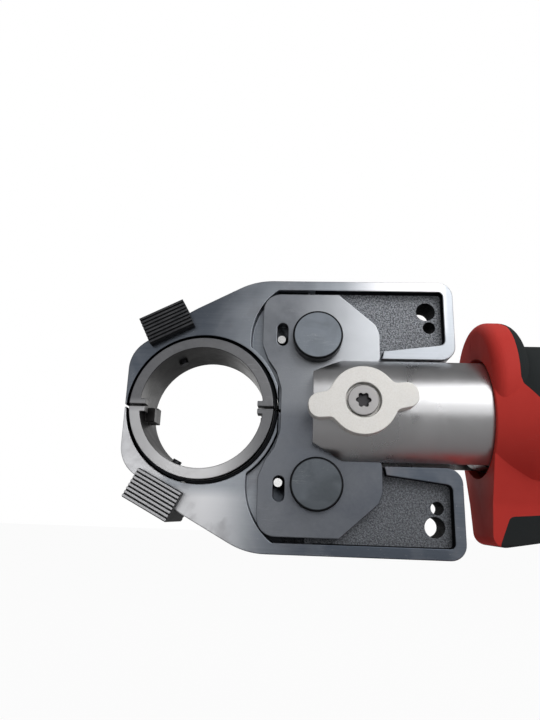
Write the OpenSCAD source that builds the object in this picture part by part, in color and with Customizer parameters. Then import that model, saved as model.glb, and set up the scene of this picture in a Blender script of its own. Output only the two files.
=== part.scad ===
/* [Dies] */
// Radius of each half die's bore
die_r = 33; // [28:0.5:35]
// How far each half die's centre lies past the split line
die_offset = 0.6; // [0:0.1:0.6]
// Radial thickness of the die's face ring
die_face_t = 5.6; // [4:0.2:6]
// Radial thickness of the die's seated body
die_body_t = 7.6; // [6.4:0.2:8]
// Half width of a die along its bore
die_half_w = 18.2; // [16.5:0.1:19]
// Half width of the seated body of a die
die_body_half_w = 12; // [9:0.5:13.5]
// Gap between the two half dies and between the two arms
split_gap = 1.2; // [1:0.1:2.4]

/* [Jaw] */
// Distance from the die centre to the locking pin
jaw_pitch = 82.8; // [82:0.2:84]
// Distance from the locking pin forward to the jaw pins
pivot_back = 21.4; // [20:0.2:22]
// Height of each jaw pin above the tool's axis
pivot_z = 38.9; // [38:0.1:40]
// Half thickness of an arm's rim
arm_half_t = 15; // [14:0.25:15.5]
// Half thickness of an arm's web, between the side plates
web_half_t = 9.5; // [8.5:0.25:10]
// Height of the outer edge of an arm above the axis
arm_top = 73.5; // [72:0.5:76]
// Distance from the die centre to the front edge of the arms
arm_front = 41.9; // [41.6:0.1:46]
// Distance from the locking pin to the rear edge of the arms
arm_rear = 53; // [51:0.5:54]
// Height of the straight rail that the rollers press
rail_z = 28.5; // [28.4:0.1:29]
// Opening angle of each arm
arm_open = 19; // [10:1:19]
// Thickness of a side plate
plate_t = 6.4; // [5:0.1:6.6]
// Radius of the shank of a jaw pin
jaw_pin_r = 9; // [8:0.25:10]
// Radius of the head of a jaw pin
jaw_pin_head_r = 13.4; // [12:0.1:14]
// Height of the head of a jaw pin
jaw_pin_head_h = 8.4; // [6:0.2:9]
// Radius of the large hole in each arm
hole_r = 5.1; // [4:0.1:5.4]
// Radius of the small hole in each arm
small_hole_r = 3.25; // [2.5:0.05:3.4]

/* [Head] */
// Radius of the yoke
yoke_r = 31.5; // [31:0.25:32.5]
// Half width of the yoke's slot
slot_half_w = 16.6; // [16.5:0.1:17]
// Distance from the locking pin to the front of the yoke
yoke_front = 23.6; // [20:0.2:25]
// Radius of the locking pin
lock_pin_r = 8; // [7:0.25:9]
// Radius of the wing knob's disc
knob_r = 16.6; // [15:0.2:17.5]
// Distance from the knob's centre to the tip of a wing
knob_wing = 26.6; // [24:0.2:28]
// Thickness of the wing knob
knob_t = 8.5; // [7:0.5:9]
// Radius of each pressing roller
roller_r = 14; // [13:0.25:14]
// Half width of each pressing roller
roller_half_w = 9.8; // [8:0.2:9.8]
// Stroke of the ram
ram_stroke = 45; // [30:1:45]
// Radius of the piston rod
rod_r = 11; // [9:0.5:12]
// Radius of the piston
piston_r = 22; // [20:0.5:23]

/* [Body] */
// Radius of the housing's barrel
barrel_r = 40.5; // [39.5:0.25:42]
// Wall of the housing shells
shell_t = 3; // [2.5:0.25:3.5]
// Height of the front collar above the axis
collar_top = 53; // [50:0.5:56]
// Radius of the front collar
front_collar_r = 37; // [35:0.5:38]
// Half width of the foot of the chin
chin_half_w = 15; // [14.5:0.5:20]
// Depth of the chin below the axis
chin_low = 67.5; // [62:0.5:72]
// Distance from the locking pin to the front of the housing
body_front = 65.6; // [63:0.2:67]
// Half width of the grip
grip_half_w = 19; // [17:0.5:21]
// Height of the battery pack
battery_h = 58; // [50:1:70]
// Half width of the battery pack
battery_half_w = 39; // [38:0.5:41]
// Length of the battery pack
battery_len = 140; // [130:1:146]

/* [Hidden] */
$fn = 96;
arc_steps = 8;
fit = 0.05;
seat = 0.25;
gap = 0.3;

// Places along the tool's axis, from the die centre
pivot_x = jaw_pitch - pivot_back;
arm_rear_x = jaw_pitch + arm_rear;
die_body_r = die_r + die_body_t;
die_face_r = die_r + die_face_t;
die_seat_r = die_body_r + seat;
die_wall_r = die_seat_r + 1.65;
plate_y = web_half_t + gap;
plate_face = plate_y + plate_t;
swing_r = 36.3;
pocket_top = arm_top - 5.7;
pocket_rear = arm_rear_x - 5.5;

// Limit pins and the slots that they run in
limit_back = 19.5;
limit_drop = 0.5;
limit_r = 2.2;
limit_slot_r = limit_r + 0.75;

// Die releases lie along this direction from the die centre, with their floor just outside the arm's nose
release_angle = 117;
release_depth = 16.4;
release_len = 26.2;
release_shift = 1.7;
release_top_t = 6.9;
release_clear = 0.15;
nose_low = [-arm_front, 30];
nose_high = [-9, 54.7];
nose_angle = atan2(nose_high[0] - nose_low[0], nose_low[1] - nose_high[1]);
nose_off = nose_low[0] * cos(nose_angle) + nose_low[1] * sin(nose_angle);
nose_lean = nose_angle - release_angle;
release_floor = (nose_off + (release_len / 2 + release_shift) * sin(nose_lean)) / cos(nose_lean) + release_clear;
release_low = release_floor + release_top_t - release_depth;
release_half_w = 20;
ridge_h = 1.2;
ridge_pitch = 2.05;
die_pin_r = 2.5;

// Locking pin, its collar and the wing knob
collar_r = 12.5;
collar_seat_y = yoke_r - 1.5;
collar_h = 6;
knob_y = collar_seat_y + collar_h;
knob_face = knob_y + knob_t;
knob_tilt = 8;
wing_half_w = 6.4;
knob_screw_r = 7.4;

// Ram, rollers and cylinder
roller_z = roller_r + gap / 2;
roller_x = arm_rear_x + roller_r + 5;
roller_pin_r = 5;
fork_front = roller_x - 9;
fork_rear = roller_x + 24;
slot_end = fork_rear + 5.2;
yoke_rear = slot_end + 12;
piston_len = 12;
cyl_wall = 7;
cyl_r = piston_r + cyl_wall;
piston_x = yoke_rear + ram_stroke + 11;
cyl_rear = piston_x + piston_len + 3;
cap_len = 8;
stub_r = 12;

// Housing
front_x = jaw_pitch + body_front;
ring_x = front_x + 14;
ring_w = 11;
ring_r = yoke_r + 4;
barrel_mid = -0.8;
barrel_low = barrel_r - barrel_mid;
collar_rear = front_x + 19.4;
chin_rear = front_x + 46.8;
chin_slope = 4;
chin_root = 22;
chin_knee = 46;
pump_x = cyl_rear + cap_len + 1;
pump_len = 30;
pump_half = 23;
gear_x = pump_x + pump_len;
gear_len = 22;
motor_x = gear_x + gear_len;
motor_len = 44;
fan_len = 7;
body_rear = motor_x + motor_len + fan_len + 16;
skin_t = 2;
grip_x = chin_rear + 32;
grip_len = 40;
grip_low = -160;
foot_h = 14;
foot_low = grip_low - foot_h;
battery_x = grip_x + grip_len + 4 - battery_len;
battery_top = foot_low - gap;
battery_low = battery_top - battery_h;

function unit(v) = v / norm(v);

// Arc of radius r that rounds corner b between a and c
function arc_corner(a, b, c, r) = r <= 0 ? [b] : let(
    u = unit(a - b),
    v = unit(c - b),
    half = acos(max(-1, min(1, u * v))) / 2,
    centre = b + unit(u + v) * r / sin(half),
    p = b + u * r / tan(half) - centre,
    turn = (u[0] * v[1] - u[1] * v[0] > 0 ? -1 : 1) * (180 - 2 * half)
) [for (i = [0:arc_steps]) let(t = turn * i / arc_steps)
    centre + [p[0] * cos(t) - p[1] * sin(t), p[0] * sin(t) + p[1] * cos(t)]];

function xy(p) = [p[0], p[1]];

// Outline through points [x, z, corner radius]
function rounded(pts) = let(n = len(pts)) [for (i = [0:n - 1])
    each arc_corner(xy(pts[(i + n - 1) % n]), xy(pts[i]), xy(pts[(i + 1) % n]), pts[i][2])];

// Rectangle from corner a to corner b with rounded corners
function rounded_box(a, b, r) = rounded([[a[0], a[1], r], [b[0], a[1], r], [b[0], b[1], r], [a[0], b[1], r]]);

// Flat X-Z shape made thick from y0 to y1
module slab(y0, y1) {
    translate([0, y1, 0]) rotate([90, 0, 0]) linear_extrude(y1 - y0) children();
}

// Flat Y-Z shape made long from x0 to x1
module bar(x0, x1) {
    translate([x0, 0, 0]) rotate([90, 0, 90]) linear_extrude(x1 - x0) children();
}

// Round rod along Y at x, z, from y0 to y1
module rod_y(x, z, r, y0, y1) {
    translate([x, y0, z]) rotate([-90, 0, 0]) cylinder(r = r, h = y1 - y0);
}

// Round rod along X from x0 to x1, centred on y, z
module rod_x(x0, x1, r, y = 0, z = 0) {
    translate([x0, y, z]) rotate([0, 90, 0]) cylinder(r = r, h = x1 - x0);
}

// Turns the local X axis to the direction of the upper die release
module at_release() {
    rotate([0, -release_angle, 0]) children();
}

// Silhouette of the upper arm
module arm_outline() {
    polygon(rounded([
        [-arm_front, split_gap / 2, 0], [nose_low[0], nose_low[1], 18], [nose_high[0], nose_high[1], 60],
        [26.5, arm_top, 40], [arm_rear_x, arm_top, 8], [arm_rear_x, rail_z, 8],
        [pivot_x + 34.5, rail_z, 0], [pivot_x + 18.6, 20.5, 6], [pivot_x + 9, 13.2, 8],
        [pivot_x - 5, 12.5, 6], [pivot_x - 9.4, split_gap / 2, 0]
    ]));
}

// Area of the arm that is thinned on both faces for the side plate and the rear pocket
module arm_pocket() {
    difference() {
        intersection() {
            translate([pivot_x, pivot_z]) circle(r = swing_r);
            translate([pivot_x - swing_r, -arm_top]) square([2 * swing_r, arm_top + pocket_top]);
        }
        circle(r = die_wall_r);
    }
    polygon(rounded([
        [pivot_x, pocket_top, 0], [pocket_rear, pocket_top, 2.5], [pocket_rear, rail_z + 9, 3],
        [pocket_rear - 3, rail_z + 8.4, 2], [pivot_x + swing_r - 0.5, rail_z + 4.6, 0], [pivot_x, rail_z + 4.6, 0]
    ]));
    polygon([
        [die_seat_r - 0.2, -1], [die_seat_r - 0.2, 14], [pivot_x, 30],
        [pivot_x + 34.1, rail_z], [pivot_x + 34.1, -1]
    ]);
}

module arm() {
    difference() {
        slab(-arm_half_t, arm_half_t) arm_outline();
        for (side = [-1, 1]) {
            slab(side > 0 ? web_half_t : -arm_half_t - 1, side > 0 ? arm_half_t + 1 : -web_half_t) arm_pocket();
        }
        rod_y(0, -die_offset, die_seat_r, -arm_half_t - 1, arm_half_t + 1);
        rod_y(pivot_x, pivot_z, jaw_pin_r + fit, -arm_half_t, arm_half_t);
        rod_y(pivot_x - limit_back, pivot_z - limit_drop, limit_r, -arm_half_t, arm_half_t);
        rod_y(jaw_pitch + 39, 58, hole_r, -arm_half_t, arm_half_t);
        rod_y(jaw_pitch + 40.6, 48.6, small_hole_r, -arm_half_t, arm_half_t);
        at_release() rod_x(die_r, release_low + 2 * release_depth, die_pin_r + fit);
    }
}

module jaw_arm_upper() {
    color("slategray") arm();
}

module jaw_arm_lower() {
    color("slategray") mirror([0, 0, 1]) arm();
}

// Half die with its end lugs, cut for the die pin
module half_die() {
    lug_h = 2.9;
    lug_in = 3;
    lug_depth = 7;
    difference() {
        union() {
            difference() {
                union() {
                    rod_y(0, -die_offset, die_body_r, -die_body_half_w, die_body_half_w);
                    rod_y(0, -die_offset, die_face_r, -die_half_w, die_half_w);
                }
                rod_y(0, -die_offset, die_r, -die_half_w - 1, die_half_w + 1);
            }
            for (end = [-1, 1], face = [-1, 1]) {
                y0 = face < 0 ? -die_half_w : die_half_w - lug_depth;
                translate([end * (die_r - lug_in / 2 + 0.5) - lug_in / 2 - 0.5, y0, split_gap / 2])
                    cube([lug_in + 1, lug_depth, lug_h]);
            }
        }
        translate([-die_body_r - 1, -die_half_w - 1, split_gap / 2 - die_body_r * 2])
            cube([die_body_r * 2 + 2, die_half_w * 2 + 2, die_body_r * 2]);
        at_release() rod_x(die_r - 6, die_body_r + 4, die_pin_r + fit);
    }
}

module die_half_upper() {
    color("dimgray") half_die();
}

// The lower half also carries the key, which stops just short of the upper half's face
module die_half_lower() {
    key_low = -7.2;
    key_top = split_gap / 2 - gap;
    color("dimgray") {
        mirror([0, 0, 1]) half_die();
        translate([-die_r - 0.6, -7, key_low]) cube([6.4, 14, key_top - key_low]);
    }
}

// Ribbed saddle that straddles the edge of the arm
module release_block() {
    at_release() translate([0, 0, -release_shift]) difference() {
        union() {
            translate([release_low, -release_half_w, -release_len / 2]) cube([release_depth, 2 * release_half_w, release_len]);
            for (i = [0:7], face = [-1, 1]) {
                translate([release_low + 0.3 + i * ridge_pitch, face * (release_half_w + ridge_h / 2) - ridge_h / 2 - 0.05 * face,
                    -release_len / 2]) cube([ridge_pitch * 0.62, ridge_h, release_len]);
            }
        }
        translate([release_low - 1, -arm_half_t - gap, -release_len / 2 - 1])
            cube([release_floor - release_low + 1, 2 * (arm_half_t + gap), release_len + 2]);
    }
}

module die_release_upper() {
    color([0.12, 0.12, 0.13]) release_block();
}

module die_release_lower() {
    color([0.12, 0.12, 0.13]) mirror([0, 0, 1]) release_block();
}

module die_pin() {
    at_release() rod_x(die_r - 2.4, release_floor, die_pin_r);
}

module die_pin_upper() {
    color("dimgray") die_pin();
}

module die_pin_lower() {
    color("dimgray") mirror([0, 0, 1]) die_pin();
}

// Upper half of the outline of a side plate
plate_half = [
    [die_wall_r - 0.2, 0, 0], [die_wall_r - 0.2, 11, 4], [39.4, 20.3, 4], [34.8, 27, 4], [pivot_x - 30, 35.6, 5],
    [pivot_x - 30, pivot_z + 26.1, 9.5], [pivot_x + 11.6, pivot_z + 26.1, 1],
    [pivot_x + 31.8, pivot_z + 8.6, 5], [pivot_x + 33.7, pivot_z + 3.4, 2], [pivot_x + 33.7, pivot_z - 10.4, 4],
    [pivot_x + 28, 16, 6], [jaw_pitch + 15, 6, 6]
];
plate_mirrored = [for (i = [len(plate_half) - 1:-1:1]) [plate_half[i][0], -plate_half[i][1], plate_half[i][2]]];

module side_plate(y0) {
    difference() {
        slab(y0, y0 + plate_t) polygon(rounded(concat(plate_half, plate_mirrored)));
        for (side = [-1, 1]) {
            rod_y(pivot_x, side * pivot_z, jaw_pin_r + 0.02, y0 - 1, y0 + plate_t + 1);
            slab(y0 - 1, y0 + plate_t + 1) limit_slot(side);
        }
        rod_y(jaw_pitch, 0, lock_pin_r + fit, y0 - 1, y0 + plate_t + 1);
    }
}

// Slot that a limit pin runs in, from the closed to the open arm
module limit_slot(side) {
    x = pivot_x - limit_back + 0.45;
    z0 = pivot_z - limit_drop - 0.5;
    rise = limit_back * sin(arm_open) + 0.6;
    for (z = [z0, z0 + rise]) translate([x, side * z]) circle(r = limit_slot_r);
    translate([x - limit_slot_r, side > 0 ? z0 : -z0 - rise]) square([2 * limit_slot_r, rise]);
}

module side_plate_front() {
    color("slategray") side_plate(-plate_face);
}

module side_plate_rear() {
    color("slategray") side_plate(plate_y);
}

groove_y = plate_face + 1.9;

module jaw_pin(side) {
    difference() {
        union() {
            rod_y(pivot_x, side * pivot_z, jaw_pin_r, -plate_face - 1, plate_face + 4.2);
            rod_y(pivot_x, side * pivot_z, jaw_pin_head_r, -plate_face - jaw_pin_head_h, -plate_face - 0.02);
        }
        difference() {
            rod_y(pivot_x, side * pivot_z, jaw_pin_r + 1, groove_y, groove_y + 1.3);
            rod_y(pivot_x, side * pivot_z, jaw_pin_r - 1, groove_y - 1, groove_y + 3);
        }
    }
}

module jaw_pin_upper() {
    color([0.3, 0.34, 0.37]) jaw_pin(1);
}

module jaw_pin_lower() {
    color([0.3, 0.34, 0.37]) jaw_pin(-1);
}

module jaw_pin_washers() {
    color("gray") for (side = [-1, 1]) difference() {
        rod_y(pivot_x, side * pivot_z, jaw_pin_r + 5, plate_face + 0.02, plate_face + 1.7);
        rod_y(pivot_x, side * pivot_z, jaw_pin_r + 0.2, plate_face - 1, plate_face + 3);
    }
}

module jaw_pin_rings() {
    color("dimgray") for (side = [-1, 1]) difference() {
        rod_y(pivot_x, side * pivot_z, jaw_pin_r + 2.6, groove_y + 0.1, groove_y + 1.2);
        rod_y(pivot_x, side * pivot_z, jaw_pin_r - 0.9, groove_y - 1, groove_y + 3);
        translate([pivot_x + 1, groove_y - 1, side * pivot_z - 4]) cube([jaw_pin_r + 4, 4, 8]);
    }
}

module limit_pin(side) {
    rod_y(pivot_x - limit_back, side * (pivot_z - limit_drop), limit_r - 0.01, 0.5 - plate_face, plate_face - 0.5);
}

module limit_pin_upper() {
    color("silver") limit_pin(1);
}

module limit_pin_lower() {
    color("silver") limit_pin(-1);
}

module jaw_spring() {
    color("gray") difference() {
        translate([pivot_x + 7, 0, -12.4]) cylinder(r = 4.2, h = 24.8);
        translate([pivot_x + 7, 0, -13]) cylinder(r = 2.6, h = 26);
    }
}

module yoke() {
    x0 = jaw_pitch - yoke_front;
    color("silver") difference() {
        rod_x(x0, yoke_rear, yoke_r);
        translate([x0 - 1, -slot_half_w, -yoke_r - 1]) cube([slot_end - x0 + 1, 2 * slot_half_w, 2 * yoke_r + 2]);
        for (side = [-1, 1]) slab(-yoke_r - 1, yoke_r + 1)
            polygon([[x0 - 1, side * 17.9], [x0, side * 18.5], [x0 + 16, side * 27], [x0 + 26, side * 33],
                [x0 + 26, side * 40], [x0 - 1, side * 40]]);
        rod_y(jaw_pitch, 0, lock_pin_r + fit, -yoke_r - 1, yoke_r + 1);
        rod_y(jaw_pitch, 0, collar_r + 1.2, -yoke_r - 1, -collar_seat_y);
        rod_x(slot_end - 1, yoke_rear + 1, rod_r + fit);
    }
}

module pin_collar() {
    color("gray") difference() {
        rod_y(jaw_pitch, 0, collar_r, -knob_y + 0.3, -collar_seat_y - 0.02);
        rod_y(jaw_pitch, 0, lock_pin_r + fit, -knob_y - 1, -collar_seat_y + 1);
    }
}

module locking_pin() {
    color("silver") difference() {
        rod_y(jaw_pitch, 0, lock_pin_r, -knob_y + 0.3, yoke_r + 0.5);
        rod_y(jaw_pitch, 0, 3.05, -knob_y - 1, -knob_y + 16);
    }
}

// Outline of the wing knob, round its own centre
wing_root = sqrt(knob_r * knob_r - (wing_half_w + 0.6) * (wing_half_w + 0.6));
disc_angle = asin((wing_half_w + 0.6) / knob_r);
disc_step = (180 - 2 * disc_angle) / 16;
half_knob = concat(
    [[knob_wing, -wing_half_w + 0.6, 5.6], [knob_wing, wing_half_w - 0.6, 5.6], [wing_root + 1, wing_half_w, 3]],
    [for (i = [1:15]) [knob_r * cos(disc_angle + i * disc_step), knob_r * sin(disc_angle + i * disc_step), 0]],
    [[-wing_root - 1, wing_half_w, 3]]
);
knob_points = concat(half_knob, [for (p = half_knob) [-p[0], -p[1], p[2]]]);

module wing_knob() {
    color([0.76, 0.72, 0.68]) difference() {
        translate([jaw_pitch, 0, 0]) rotate([0, -knob_tilt, 0]) slab(-knob_face, -knob_y) polygon(rounded(knob_points));
        rod_y(jaw_pitch, 0, knob_screw_r + 1.2, -knob_face - 1, -knob_face + 3.6);
        rod_y(jaw_pitch, 0, 3.3, -knob_face - 1, -knob_y + 1);
    }
}

module knob_screw() {
    head_y = knob_face - 0.7;
    color("gray") difference() {
        union() {
            rod_y(jaw_pitch, 0, knob_screw_r, -head_y, -knob_face + 3.58);
            rod_y(jaw_pitch, 0, 3, -head_y, -knob_y + 14);
        }
        rod_y(jaw_pitch, 0, 2.7, -head_y - 1, -head_y + 2.4);
        for (i = [0:5]) rod_y(jaw_pitch + 2.6 * cos(60 * i), 2.6 * sin(60 * i), 0.95, -head_y - 1, -head_y + 2.4);
    }
}

module ram_fork() {
    cheek_in = roller_half_w + gap;
    cheek_out = slot_half_w - 0.4;
    color("gray") difference() {
        slab(-cheek_out, cheek_out) polygon(rounded([
            [fork_front, -23, 8], [fork_rear, -23, 3], [fork_rear, 23, 3], [fork_front, 23, 8]
        ]));
        translate([fork_front - 1, -cheek_in, -30]) cube([roller_x + roller_r + 1.4 - fork_front, 2 * cheek_in, 60]);
        for (side = [-1, 1]) rod_y(roller_x, side * roller_z, roller_pin_r + 0.02, -cheek_out - 1, cheek_out + 1);
    }
}

module roller(side) {
    color("silver") difference() {
        rod_y(roller_x, side * roller_z, roller_r, -roller_half_w, roller_half_w);
        rod_y(roller_x, side * roller_z, roller_pin_r + fit, -roller_half_w - 1, roller_half_w + 1);
    }
}

module roller_upper() {
    roller(1);
}

module roller_lower() {
    roller(-1);
}

module roller_pins() {
    color("dimgray") for (side = [-1, 1]) rod_y(roller_x, side * roller_z, roller_pin_r, 0.6 - slot_half_w, slot_half_w - 0.6);
}

module piston_rod() {
    color("silver") rod_x(fork_rear + 0.02, piston_x - 0.02, rod_r);
}

module piston() {
    color("gray") difference() {
        rod_x(piston_x, piston_x + piston_len, piston_r);
        difference() {
            rod_x(piston_x + 4, piston_x + 8, piston_r + 1);
            rod_x(piston_x + 3, piston_x + 9, piston_r - 2.5);
        }
    }
}

module piston_seal() {
    color([0.1, 0.1, 0.1]) difference() {
        rod_x(piston_x + 4.1, piston_x + 7.9, piston_r + 0.02);
        rod_x(piston_x + 3, piston_x + 9, piston_r - 2.3);
    }
}

module return_spring() {
    color("gray") difference() {
        rod_x(yoke_rear + 1, piston_x - 0.6, rod_r + 6);
        rod_x(yoke_rear, piston_x + 1, rod_r + 3);
    }
}

module cylinder_tube() {
    color("gray") difference() {
        rod_x(yoke_rear + 0.02, cyl_rear, cyl_r);
        rod_x(yoke_rear - 1, cyl_rear + 1, piston_r + fit);
    }
}

module cylinder_cap() {
    color("gray") difference() {
        union() {
            rod_x(cyl_rear + 0.02, cyl_rear + cap_len, cyl_r);
            rod_x(cyl_rear, cyl_rear + cap_len + 15, stub_r);
        }
        rod_x(cyl_rear - 1, cyl_rear + cap_len + 16, 3);
    }
}

module swivel_ring() {
    color("tan") difference() {
        rod_x(ring_x + 0.02, ring_x + ring_w - 0.02, ring_r);
        rod_x(ring_x - 1, ring_x + ring_w + 1, yoke_r + fit);
    }
}

module pump_block() {
    color("silver") difference() {
        translate([pump_x, -pump_half, -pump_half]) cube([pump_len - gap, 2 * pump_half, 2 * pump_half]);
        rod_x(pump_x - 1, cyl_rear + cap_len + 16, stub_r + fit);
        rod_x(pump_x + 20, pump_x + pump_len + 1, 8);
        translate([pump_x + 24, 0, -pump_half - 1]) cylinder(r = 4 + fit, h = pump_half - 5);
    }
}

module pump_plunger() {
    color("silver") translate([pump_x + 24, 0, 1 - pump_half]) cylinder(r = 4, h = pump_half - 6.8);
}

module pump_shaft() {
    color("gray") union() {
        rod_x(pump_x + 20.6, gear_x + 6, 4);
        rod_x(pump_x + 21, pump_x + 27, 4.6, 0, 0.9);
    }
}

module reservoir() {
    color([0.15, 0.15, 0.16]) bar(pump_x + 2, pump_x + pump_len - 3)
        polygon(rounded_box([-17, pump_half + 0.4], [17, 31], 3.5));
}

module gearbox() {
    color("dimgray") difference() {
        rod_x(gear_x, gear_x + gear_len - gap, 24);
        rod_x(gear_x - 1, gear_x + gear_len + 1, 9);
    }
}

module motor_can() {
    color("gray") difference() {
        rod_x(motor_x, motor_x + motor_len, 24);
        rod_x(motor_x + 2, motor_x + motor_len + 1, 21);
        rod_x(motor_x - 1, motor_x + 3, 9);
    }
}

module motor_rotor() {
    color("brown") union() {
        rod_x(gear_x + 7, motor_x + motor_len + fan_len + 0.8, 3.5);
        rod_x(motor_x + 5, motor_x + motor_len - 3, 20);
    }
}

module motor_fan() {
    x0 = motor_x + motor_len + 0.6;
    color([0.1, 0.1, 0.1]) difference() {
        union() {
            rod_x(x0, x0 + 2, 22);
            rod_x(x0, x0 + fan_len, 7);
            for (i = [0:8]) rotate([40 * i, 0, 0]) translate([x0, 6, -0.7]) cube([fan_len, 15.5, 1.4]);
        }
        rod_x(x0 - 1, x0 + fan_len + 1, 3.52);
    }
}

cavity_t = shell_t + skin_t - 0.5;
cavity_x = ring_x + ring_w + 3;
split_y = 0.05;

// Solid turned about an axis at height z from x0 to x1: it starts at radius r - flare, and r0 and r1 round its ends
module turned(x0, x1, r, flare, r0, r1, z) {
    bend = flare > 0 ? [[r, flare * 3, 3 * flare]] : [];
    translate([x0, 0, z]) rotate([0, 90, 0]) rotate_extrude()
        polygon(rounded(concat([[0, 0, 0], [r - flare, 0, r0]], bend, [[r, x1 - x0, r1], [0, x1 - x0, 0]])));
}

// Each solid of the body is drawn in by t, and where that is its cavity, the barrel starts behind the ring
module barrel_solid(t) {
    if (t > skin_t) turned(cavity_x, body_rear - t, barrel_r - t, 0, 1, 16 - t, barrel_mid);
    else turned(front_x + t, body_rear - t, barrel_r - t, 6.5, 1, 16 - t, barrel_mid);
}

module collar_solid(t) {
    if (t <= skin_t) turned(front_x + t, collar_rear - t, front_collar_r - t, 0, 6, 8, collar_top - front_collar_r);
}

module chin_solid(t) {
    w = chin_half_w - t;
    cheek = [[w + 3 * chin_slope, -chin_root, 0], [w + chin_slope, -chin_knee, 20], [w, t - chin_low, 4 - t]];
    mirrored = [for (i = [2:-1:0]) [-cheek[i][0], cheek[i][1], cheek[i][2]]];
    intersection() {
        slab(-50, 50) polygon(rounded([
            [front_x + t, -barrel_low / 2, 0], [front_x + t, -chin_low + t, 6],
            [chin_rear - t, -chin_low + 8 + t, 12], [chin_rear + 5 - t, -barrel_low / 2, 0]
        ]));
        bar(front_x - 2, chin_rear + 7) polygon(rounded(concat(cheek, mirrored)));
    }
}

module grip_solid(t) {
    translate([0, 0, grip_low - 1]) linear_extrude(-grip_low - barrel_low + 8)
        polygon(rounded_box([grip_x + t, t - grip_half_w], [grip_x + grip_len - t, grip_half_w - t], 15 - t));
}

module foot_solid() {
    translate([0, 0, foot_low]) linear_extrude(foot_h)
        polygon(rounded_box([battery_x + 2, 2 - battery_half_w], [battery_x + battery_len - 2, battery_half_w - 2], 10));
}

module body_solid(t) {
    barrel_solid(t);
    collar_solid(t);
    chin_solid(t);
    grip_solid(t);
}

// Side view of the black overmould behind the collar
module overmould_area() {
    polygon([
        [front_x + 9.5, 70], [front_x + 10.5, 52], [front_x + 12.8, 46], [front_x + 12.4, 33], [front_x + 12, 15],
        [front_x + 13, 12], [front_x + 19.5, 3], [front_x + 27, -2], [front_x + 52, -6], [body_rear + 5, -6],
        [body_rear + 5, 70]
    ]);
}

// Side view of the bumper round the chin
module bumper_area() {
    polygon(rounded([
        [front_x + 3.8, -64.5, 0], [front_x + 8.3, -51.6, 3], [chin_rear + 9, -48, 0], [chin_rear + 9, -chin_low - 5, 0],
        [front_x + 3.8, -chin_low - 5, 0]
    ]));
}

module overmould_skin(extra) {
    difference() {
        intersection() {
            union() {
                barrel_solid(-extra);
                collar_solid(-extra);
            }
            slab(-60, 60) overmould_area();
        }
        barrel_solid(skin_t);
        collar_solid(skin_t);
    }
}

module bumper_skin(extra) {
    difference() {
        intersection() {
            chin_solid(-extra);
            slab(-60, 60) bumper_area();
        }
        chin_solid(skin_t);
    }
}

sleeve_low = grip_low + 6;
sleeve_top = -barrel_low - 8.7;

module sleeve_skin() {
    difference() {
        intersection() {
            grip_solid(0);
            translate([grip_x - 1, -30, sleeve_low]) cube([grip_len + 2, 60, sleeve_top - sleeve_low]);
        }
        grip_solid(skin_t);
        trigger_window();
    }
}

trigger_half_w = 8;
trigger_top = -barrel_low - 2.2;
trigger_low = trigger_top - 34;

module trigger_window() {
    translate([grip_x - 1, -trigger_half_w - gap, trigger_low - gap])
        cube([10, 2 * (trigger_half_w + gap), trigger_top - trigger_low + 2 * gap]);
}

// Places of the housing screws, x and z
screw_places = [
    [front_x + 12.8, -chin_low + 10], [chin_rear - 10, -chin_low + 17], [front_x + 8, collar_top - 9],
    [grip_x + grip_len - 10, -122], [battery_x + 16, grip_low - foot_h / 2], [body_rear - 9, 0]
];
button_x = pump_x + 20;
button_z = -14;
button_r = 7;
saddles = [[pump_x + 8, 0], [gear_x + 8, 24], [motor_x + 8, 24], [motor_x + motor_len - 8, 24]];

module housing(side) {
    difference() {
        union() {
            difference() {
                union() {
                    body_solid(0);
                    foot_solid();
                }
                body_solid(cavity_t);
                overmould_skin(1);
                bumper_skin(1);
                sleeve_skin();
            }
            intersection() {
                body_solid(cavity_t - 0.5);
                union() {
                    for (s = saddles) difference() {
                        translate([s[0], -60, -60]) cube([3, 120, 120]);
                        if (s[1] > 0) rod_x(s[0] - 1, s[0] + 4, s[1] + gap);
                        else translate([s[0] - 1, -pump_half - gap, -pump_half - gap]) cube([5, 2 * (pump_half + gap), 64]);
                    }
                    for (p = screw_places) rod_y(p[0], p[1], 5.4, -60, 60);
                }
            }
        }
        rod_x(front_x - 1, cavity_x + 1, yoke_r + 1);
        rod_x(ring_x, ring_x + ring_w, ring_r + fit);
        for (p = screw_places) {
            rod_y(p[0], p[1], 1.6, -14, 0);
            rod_y(p[0], p[1], 2.1, -1, 14);
            rod_y(p[0], p[1], 3.9, 10, 60);
        }
        trigger_window();
        rod_y(button_x, button_z, button_r + gap, -barrel_r - 1, -30);
        translate([grip_x - 6, -14, foot_low - 1]) cube([32, 28, foot_h + 2]);
        for (s = [-1, 1]) bar(battery_x - 1, battery_x + battery_len + 1) translate([s * 25.5, foot_low])
            rail_shape(gap);
        translate([-100, side > 0 ? split_y - 200 : -split_y, -300]) cube([600, 200, 600]);
    }
}

// Cross-section of a battery rail, widened by g to make its groove
module rail_shape(g) {
    translate([-2 - g, -1]) square([4 + 2 * g, 5.7 + g]);
    translate([-4.5 - g, 2.5 - g]) square([9 + 2 * g, 2.2 + 2 * g]);
}

module housing_left() {
    color([0.72, 0.1, 0.1]) housing(-1);
}

module housing_right() {
    color([0.72, 0.1, 0.1]) housing(1);
}

module top_overmould() {
    color([0.07, 0.07, 0.08]) overmould_skin(0);
}

module chin_bumper() {
    color([0.07, 0.07, 0.08]) bumper_skin(0);
}

module grip_sleeve() {
    color([0.07, 0.07, 0.08]) sleeve_skin();
}

module housing_screws() {
    color("dimgray") for (p = screw_places) difference() {
        union() {
            rod_y(p[0], p[1], 1.59, -13, 10.02);
            rod_y(p[0], p[1], 3.6, 10.02, 13.4);
        }
        rod_y(p[0], p[1], 1.5, 11.6, 14);
    }
}

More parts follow.
